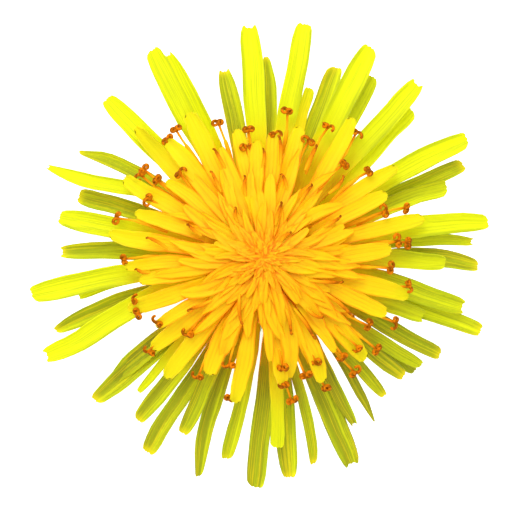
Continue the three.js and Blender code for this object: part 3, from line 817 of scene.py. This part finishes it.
class DANDELION_OT_middle_ligules(bpy.types.Operator):
    """Adds the middle ligules, gold and round-tipped"""
    bl_idname = "dandelion.middle_ligules"
    bl_label = "Middle ligules"

    def execute(self, context):
        rng = random.Random(12)
        outline = [(0, 0.3), (0.3, 0.72), (0.62, 1), (0.85, 0.9), (0.95, 0.7), (1, 0.42)]
        teeth = [0.3, 0.08, 0.2, 0.02, 0.16, 0, 0.2, 0.1, 0.3]
        full_width, root_radius = 1.7, 3.2
        blank = blade_blank("middle_ligule", outline, length=12, width=full_width, along=14, across=8,
                            depth=0.26, ridge=0.015, teeth=teeth)
        path = make_path()
        copies = []
        for number, (azimuth, reach, width) in enumerate(MIDDLE_LIGULES):
            lean, bow = rng.uniform(-12, 12), rng.uniform(-0.35, 0.35)
            lift = 0.3 if number % 2 else 0.0
            azimuths, share = (azimuth, azimuth), width / full_width
            stops = strap_stops(azimuths, root_radius, reach, share, lean, bow, lift)
            copies.append(bend(blank, path, f"middle_{number}", stops))
            mark(copies[-1], "seed", rng.random())
        piece = join("middle_ligules", copies)
        ripple(piece, "middle_ripple", 0.6)
        material = petal_finish("middle_petal", 4, 0.3, colours().gold_glow, 0.5, 0.0145)
        finish(piece, material, ["inner_florets"])
        remove(blank, path)
        return {"FINISHED"}


class DANDELION_OT_inner_ligules(bpy.types.Operator):
    """Adds the inner ligules by the golden angle, shorter and narrower towards the axis"""
    bl_idname = "dandelion.inner_ligules"
    bl_label = "Inner ligules"

    def execute(self, context):
        rng = random.Random(13)
        round_outline = [(0, 0.45), (0.3, 0.8), (0.65, 1), (0.86, 0.86), (0.95, 0.66), (1, 0.36)]
        keen_outline = [(0, 0.4), (0.35, 0.82), (0.6, 1), (0.82, 0.72), (1, 0.14)]
        full_width = 1.3
        size = {"length": 8, "width": full_width, "along": 9, "across": 4}
        round_blank = blade_blank("round_ligule", round_outline, depth=0.15, **size)
        keen_blank = blade_blank("keen_ligule", keen_outline, depth=0.18, **size)
        path = make_path()
        copies = []
        count = sizes().inner_count
        for number in range(count):
            share = number / (count - 1)
            azimuth = number * GOLDEN_ANGLE + rng.uniform(-10, 10)
            reach = blend(12.0, 1.1, share ** 0.8) + rng.uniform(-0.9, 0.9) * (1 - share)
            for gap_azimuth, gap_start in DEEP_GAPS:
                if abs(math.remainder(azimuth - gap_azimuth, 360)) < GAP_HALF_WIDTH:
                    reach = min(reach, gap_start)
            width = blend(1.5, 0.62, share ** 0.7) / full_width * rng.uniform(0.7, 1.15)
            azimuths = (azimuth + rng.uniform(-14, 14), azimuth)
            lean = rng.uniform(-22, 22)
            bow = rng.uniform(-0.05, 0.05) * reach
            root_radius = blend(reach * 0.1, rng.uniform(-0.9, 0.2), share)
            lift, dip = rng.uniform(-0.12, 0.1), rng.uniform(0.15, 0.6) * (1 - share * 0.6)
            stops = strap_stops(azimuths, root_radius, reach, width, lean, bow, lift, ROSETTE_FALL, dip)
            keen = rng.random() < 0.35 or share > 0.75
            copies.append(bend(keen_blank if keen else round_blank, path, f"inner_{number}", stops))
            mark(copies[-1], "seed", rng.random())
        piece = join("inner_ligules", copies)
        ripple(piece, "inner_ripple", 0.4)
        material = petal_finish("inner_petal", 2, 0.4, colours().gold_glow, 0.55, 0.0155)
        finish(piece, material, ["inner_florets"])
        remove(path, round_blank, keen_blank)
        return {"FINISHED"}


def thread(name, lines):
    """A tube along each line of (point in mm, radius in mm)."""
    bpy.ops.object.select_all(action="DESELECT")
    bpy.ops.curve.primitive_bezier_curve_add()
    curve = bpy.context.object
    curve.name = name
    curve.data.dimensions = "3D"
    curve.data.splines.clear()
    for line in lines:
        spline = curve.data.splines.new("POLY")
        spline.points.add(len(line) - 1)
        for knot, (point, radius) in zip(spline.points, line):
            knot.co = (*(Vector(point) * MM), 1)
            knot.radius = radius
    curve.data.bevel_depth = MM
    curve.data.bevel_resolution = 1
    curve.data.use_fill_caps = True
    take(curve)
    bpy.ops.object.location_clear()
    bpy.ops.object.convert(target="MESH")
    return bpy.context.object


def curl(side, turns, first_radius, last_radius, rise):
    """One stigma lobe, coiled back from the end of its style, as a line for a tube."""
    line = []
    steps = 16
    for step in range(steps + 1):
        share = step / steps
        radius = blend(first_radius, last_radius, share ** 0.8)
        angle = math.radians(-90 + 360 * turns * share)
        across = side * (first_radius + radius * math.sin(angle))
        point = (STYLE_LENGTH + radius * math.cos(angle), across, rise * share)
        line.append((point, blend(0.19, 0.15, share)))
    return line


def mark_length(piece, start=0.0):
    """Gives every vertex its share of the way along +X, from start to 1, for a finish to read."""
    places = [vertex.co.x for vertex in piece.data.vertices]
    low, high = min(places), max(places)
    attribute = piece.data.attributes.new("along", "FLOAT", "POINT")
    attribute.data.foreach_set("value", [blend(start, 1, (x - low) / (high - low)) for x in places])


def style_stops(azimuth, radius, bow, roll, sink):
    """Where a style lies on the dome: out of the florets and along them to its free end."""
    foot_radius = radius - STYLE_RUN
    foot = polar(foot_radius, azimuth, dome_height(foot_radius) - 2.4)
    end = polar(radius, azimuth, dome_height(radius) + 0.15)
    crown = dome_height((radius + foot_radius) / 2) - sink
    points = arch(foot, crown, end, (bow, bow), 4)
    return [(point, 1, roll * step / 3) for step, point in enumerate(points)]


class DANDELION_OT_styles(bpy.types.Operator):
    """Adds the open styles with their two coiled stigmas, and the anther tubes they grow through"""
    bl_idname = "dandelion.styles"
    bl_label = "Styles and stigmas"

    def execute(self, context):
        rng = random.Random(14)
        tube = [
            ((0, 0, -0.05), 0.12), ((0.8, 0, 0), 0.2), ((2.2, 0, 0), 0.22), ((3.2, 0, 0), 0.21),
            ((3.5, 0, 0), 0.16),
        ]
        stem = [
            ((3.3, 0, 0), 0.13), ((4.2, 0.02, 0), 0.12), ((5.2, 0, 0), 0.13), ((STYLE_LENGTH, 0, 0), 0.15),
        ]
        coils = (
            ((1.35, 0.27, 0.15, 0.34), (1.25, 0.3, 0.16, 0.24)),
            ((1.05, 0.34, 0.2, 0.4), (1.4, 0.26, 0.15, -0.2)),
            ((0.8, 0.4, 0.26, 0.2), (1.15, 0.31, 0.17, 0.36)),
            ((1.5, 0.25, 0.16, 0.5), (0.6, 0.38, 0.3, 0.1)),
        )
        masters = []
        for number, (left, right) in enumerate(coils):
            masters.append(thread(f"style_{number}", [tube, stem, curl(1, *left), curl(-1, *right)]))
            mark_length(masters[-1])
        path = make_path()
        copies = []
        for number, (azimuth, radius) in enumerate(OPEN_STYLES):
            bow, roll, sink = rng.uniform(-0.35, 0.35), rng.uniform(-50, 50), rng.uniform(-0.2, 1.2)
            stops = style_stops(azimuth, radius, bow, roll, sink)
            copies.append(bend(rng.choice(masters), path, f"style_{number}", stops))
        piece = join("open_styles", copies)
        finish(piece, style_finish(), ["inner_florets"], 70)
        remove(path, *masters)
        return {"FINISHED"}


class DANDELION_OT_closed_styles(bpy.types.Operator):
    """Adds the florets that aren't open yet, as golden tubes with darker tips"""
    bl_idname = "dandelion.closed_styles"
    bl_label = "Closed styles"

    def execute(self, context):
        rng = random.Random(17)
        tube = [
            ((0, 0, 0), 0.1), ((0.4, 0, 0), 0.16), ((1.2, 0, 0), 0.18), ((2, 0, 0), 0.16),
            ((2.3, 0, 0), 0.11), ((2.5, 0.04, 0), 0.13), ((2.62, 0.16, 0.03), 0.1),
        ]
        orange_share = 0.64
        master = thread("closed_style", [tube])
        mark_length(master, orange_share)
        path = make_path()
        copies = []
        for number, (tip_x, tip_y, foot_x, foot_y) in enumerate(CLOSED_STYLES):
            tip = Vector((tip_x, tip_y, 0)) * MM
            foot = Vector((foot_x, foot_y, 0)) * MM
            tip.z = (dome_height(tip.length / MM) + 0.2) * MM
            foot.z = (dome_height(foot.xy.length / MM) - 0.1) * MM
            bow = rng.uniform(-0.2, 0.2)
            points = arch(foot, max(foot.z, tip.z) / MM + 0.2, tip, (bow, bow), 3)
            stops = [(point, 1, 0) for point in points]
            copies.append(bend(master, path, f"closed_{number}", stops))
        piece = join("closed_styles", copies)
        finish(piece, bpy.data.materials["style"], ["inner_florets"], 70)
        remove(path, master)
        return {"FINISHED"}


def ringed(name, rings, sides, closed):
    """A round piece made by extruding a circle from ring to ring of (radius, height) in mm."""
    bpy.ops.object.select_all(action="DESELECT")
    radius, height = rings[0]
    bpy.ops.mesh.primitive_circle_add(vertices=sides, radius=radius * MM)
    piece = bpy.context.object
    piece.name = name
    with editing(piece):
        pick(piece, lambda place: True)
        bpy.ops.transform.translate(value=(0, 0, height * MM))
        for radius_next, height_next in rings[1:]:
            bpy.ops.mesh.extrude_edges_move()
            middle = (0, 0, height * MM)
            growth = radius_next / radius
            bpy.ops.transform.resize(value=(growth, growth, 1), center_override=middle)
            bpy.ops.transform.translate(value=(0, 0, (height_next - height) * MM))
            radius, height = radius_next, height_next
        if closed:
            bpy.ops.mesh.edge_face_add()
            first_radius, first_height = rings[0]
            pick(piece, lambda place: abs(place.z - first_height * MM) < NEAR
                 and abs(place.xy.length - first_radius * MM) < NEAR)
            bpy.ops.mesh.edge_face_add()
        bpy.ops.mesh.select_all(action="SELECT")
        bpy.ops.mesh.normals_make_consistent(inside=False)
    return piece


class DANDELION_OT_core(bpy.types.Operator):
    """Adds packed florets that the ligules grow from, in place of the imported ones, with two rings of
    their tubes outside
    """
    bl_idname = "dandelion.core"
    bl_label = "Packed florets"

    def execute(self, context):
        rng = random.Random(18)
        rings = [
            (3.9, 10.4), (4.3, 11.4), (4.4, 13.0), (4.4, 14.6), (4.2, 16.1), (3.4, 17.1), (2.2, 17.6),
            (0.8, 17.8),
        ]
        middle = ringed("packed_middle", rings, 40, True)
        tube = [
            ((0, 0, 0), 0.3), ((0.8, 0, 0), 0.34), ((2, 0, 0), 0.3), ((3.2, 0, 0), 0.34),
            ((4.2, 0, 0), 0.2),
        ]
        master = thread("floret_tube", [tube])
        path = make_path()
        copies = []
        lower_ring = ((4.1, 11.0), (4.7, 12.9), (6.2, 14.3))
        upper_ring = ((3.9, 12.4), (4.4, 14.6), (6.0, 16.4))
        for (foot, waist, mouth), count in ((lower_ring, 38), (upper_ring, 34)):
            for number in range(count):
                azimuth = 360 / count * number + rng.uniform(-3, 3)
                out, up = rng.uniform(-0.3, 0.4), rng.uniform(-0.4, 0.4)
                stops = [
                    (polar(foot[0], azimuth, foot[1]), 1, 0),
                    (polar(waist[0], azimuth, waist[1] + up / 2), 1, 0),
                    (polar(mouth[0] + out, azimuth + rng.uniform(-3, 3), mouth[1] + up), 1, 0),
                ]
                copies.append(bend(master, path, f"tube_{len(copies)}", stops))
        piece = join("packed_florets", [middle, *copies])
        remove(master, path)
        finish(piece, core_finish(), ["inner_florets", "outer_florets"], 60)
        return {"FINISHED"}


class DANDELION_OT_receptacle(bpy.types.Operator):
    """Adds the green cup that the bracts grow on"""
    bl_idname = "dandelion.receptacle"
    bl_label = "Receptacle"

    def execute(self, context):
        rings = [
            (2.7, 3.0), (3.1, 3.4), (4.0, 3.95), (4.6, 4.7), (4.95, 5.6), (5.05, 7.0), (5.0, 8.6),
            (4.7, 9.8), (4.2, 10.5),
        ]
        piece = ringed("receptacle", rings, 48, True)
        finish(piece, receptacle_finish(), ["involucre"], 60)
        return {"FINISHED"}


class DANDELION_OT_upright_bracts(bpy.types.Operator):
    """Adds the inner row of upright bracts round the cup"""
    bl_idname = "dandelion.upright_bracts"
    bl_label = "Upright bracts"

    def execute(self, context):
        rng = random.Random(15)
        outline = [(0, 0.7), (0.3, 1), (0.65, 0.86), (0.88, 0.5), (1, 0.14)]
        blank = blade_blank("upright_bract", outline, length=8, width=2.5, along=14, across=6, depth=0.42)
        path = make_path()
        copies = []
        count = 18
        for number in range(count):
            azimuth = 360 / count * (number + 0.5) + rng.uniform(-2, 2)
            out = 0.3 if number % 2 else 0.0
            top = 11.3 + rng.uniform(-0.3, 0.2)
            stops = [
                (polar(4.2 + out, azimuth, 4.4), 1, 0),
                (polar(4.75 + out, azimuth, 6.2), 1, 0),
                (polar(5.1 + out, azimuth, 9.0), 1, 0),
                (polar(5.4 + out, azimuth, top), 1, 0),
            ]
            copies.append(bend(blank, path, f"upright_{number}", stops))
        piece = join("upright_bracts", copies)
        finish(piece, bract_finish(), ["involucre"])
        remove(blank, path)
        return {"FINISHED"}


class DANDELION_OT_bent_bracts(bpy.types.Operator):
    """Adds the outer row of bracts, which bend back to the surface the head rests on"""
    bl_idname = "dandelion.bent_bracts"
    bl_label = "Bent bracts"

    def execute(self, context):
        rng = random.Random(16)
        outline = [(0, 0.7), (0.25, 1), (0.6, 0.85), (0.85, 0.5), (1, 0.16)]
        blank = blade_blank("bent_bract", outline, length=10, width=2.6, along=18, across=6, depth=0.3)
        path = make_path()
        copies = []
        count = 14
        rest = sizes().petal_thickness / MM / 2
        for number in range(count):
            azimuth = 360 / count * number + rng.uniform(-2, 2)
            tip_rise = rest + 0.1 + rng.uniform(0, 0.35)
            stops = [
                (polar(3.9, azimuth, 4.85), 1, 0),
                (polar(6.0, azimuth, 5.5 + rng.uniform(-0.1, 0.1)), 1, 0),
                (polar(7.3, azimuth, 4.4), 1, rng.uniform(-6, 6)),
                (polar(7.9, azimuth, 2.0), 1, 0),
                (polar(8.6, azimuth, rest + 0.12), 1, 0),
                (polar(9.7, azimuth + rng.uniform(-2, 2), tip_rise), 1, 0),
            ]
            copies.append(bend(blank, path, f"bent_{number}", stops))
        piece = join("bent_bracts", copies)
        finish(piece, bpy.data.materials["bract"], ["involucre"])
        remove(blank, path)
        return {"FINISHED"}


class DANDELION_OT_stalk(bpy.types.Operator):
    """Adds the short hollow stub of the stalk, ribbed outside"""
    bl_idname = "dandelion.stalk"
    bl_label = "Stalk"

    def execute(self, context):
        outer = sizes().stalk_radius / MM
        bore = sizes().bore_radius / MM
        rings = [
            (bore, 2.6), (bore, 0.12), (bore + 0.08, 0.02), (outer - 0.12, 0.0), (outer, 0.1),
            (outer, 0.9), (outer, 1.7), (outer + 0.22, 2.5), (outer + 0.52, 3.1),
        ]
        sides, rib_every = 48, 4
        piece = ringed("stalk", rings, sides, False)
        with editing(piece):
            pick(piece, lambda place: place.z > 2.55 * MM and place.xy.length < (bore + 0.05) * MM)
            bpy.ops.mesh.edge_face_add()
            pick(piece, lambda place: place.z > 3.05 * MM)
            bpy.ops.mesh.edge_face_add()
            for column in range(0, sides, rib_every):
                angle = 2 * math.pi * column / sides
                pick(piece, lambda place: place.xy.length > (outer - 0.05) * MM and abs(math.remainder(
                    math.atan2(place.x, place.y) - angle, 2 * math.pi)) < 0.02)
                bpy.ops.transform.resize(value=(0.965, 0.965, 1), center_override=(0, 0, 0))
            bpy.ops.mesh.select_all(action="SELECT")
            bpy.ops.mesh.normals_make_consistent(inside=False)
        finish(piece, stalk_finish(), ["scape"], 60)
        return {"FINISHED"}


class DANDELION_OT_stage(bpy.types.Operator):
    """Adds the pale floor, the soft lights and the camera straight above the bloom"""
    bl_idname = "dandelion.stage"
    bl_label = "Stage"

    def execute(self, context):
        scene = context.scene
        settings = scene.dandelion_stage
        bpy.ops.object.select_all(action="DESELECT")
        floor_size = 3.0
        bpy.ops.mesh.primitive_plane_add(size=floor_size, location=(0, 0, 0))
        floor = bpy.context.object
        floor.name = "floor"
        floor.data.materials.append(floor_finish())
        world = bpy.data.worlds.new("even_light")
        world.use_nodes = True
        background = world.node_tree.nodes["Background"]
        background.inputs["Color"].default_value = (1, 1, 1, 1)
        background.inputs["Strength"].default_value = settings.sky_strength
        scene.world = world
        bpy.ops.object.light_add(type="AREA", location=(-0.12, 0.42, 0.55))
        key = bpy.context.object
        key.name = "key_light"
        key.data.size = 0.35
        key.data.energy = settings.key_power
        key.rotation_euler = (-key.location).to_track_quat("-Z", "Y").to_euler()
        half_angle = math.atan(SENSOR_WIDTH / 2 / settings.lens)
        reach = settings.view_width / 2 / math.tan(half_angle)
        bpy.ops.object.camera_add(
            location=(settings.aim_x, settings.aim_y, settings.view_height + reach), rotation=(0, 0, 0)
        )
        camera = bpy.context.object
        camera.name = "camera"
        camera.data.lens = settings.lens
        camera.data.sensor_width = SENSOR_WIDTH
        camera.data.clip_start = 0.01
        scene.camera = camera
        scene.view_settings.view_transform = "Standard"
        return {"FINISHED"}


OPERATORS = (
    DANDELION_OT_stage,
    DANDELION_OT_core,
    DANDELION_OT_outer_ligules,
    DANDELION_OT_middle_ligules,
    DANDELION_OT_inner_ligules,
    DANDELION_OT_styles,
    DANDELION_OT_closed_styles,
    DANDELION_OT_receptacle,
    DANDELION_OT_upright_bracts,
    DANDELION_OT_bent_bracts,
    DANDELION_OT_stalk,
)


class DANDELION_PT_panel(bpy.types.Panel):
    """Lists the steps that make the flower head"""
    bl_label = "Dandelion"
    bl_idname = "DANDELION_PT_panel"
    bl_space_type = "VIEW_3D"
    bl_region_type = "UI"
    bl_category = "Dandelion"

    def draw(self, context):
        for operator in OPERATORS:
            self.layout.operator(operator.bl_idname)


SETTINGS = {
    "dandelion_sizes": HeadSizes,
    "dandelion_colours": HeadColours,
    "dandelion_stage": StageSettings,
}
CLASSES = (*SETTINGS.values(), *OPERATORS, DANDELION_PT_panel)


def register():
    for item in CLASSES:
        bpy.utils.register_class(item)
    for name, group in SETTINGS.items():
        setattr(bpy.types.Scene, name, PointerProperty(type=group))


def unregister():
    for name in SETTINGS:
        delattr(bpy.types.Scene, name)
    for item in reversed(CLASSES):
        bpy.utils.unregister_class(item)


def main():
    register()
    for operator in OPERATORS:
        group, action = operator.bl_idname.split(".")
        getattr(getattr(bpy.ops, group), action)()


if __name__ == "__main__":
    main()
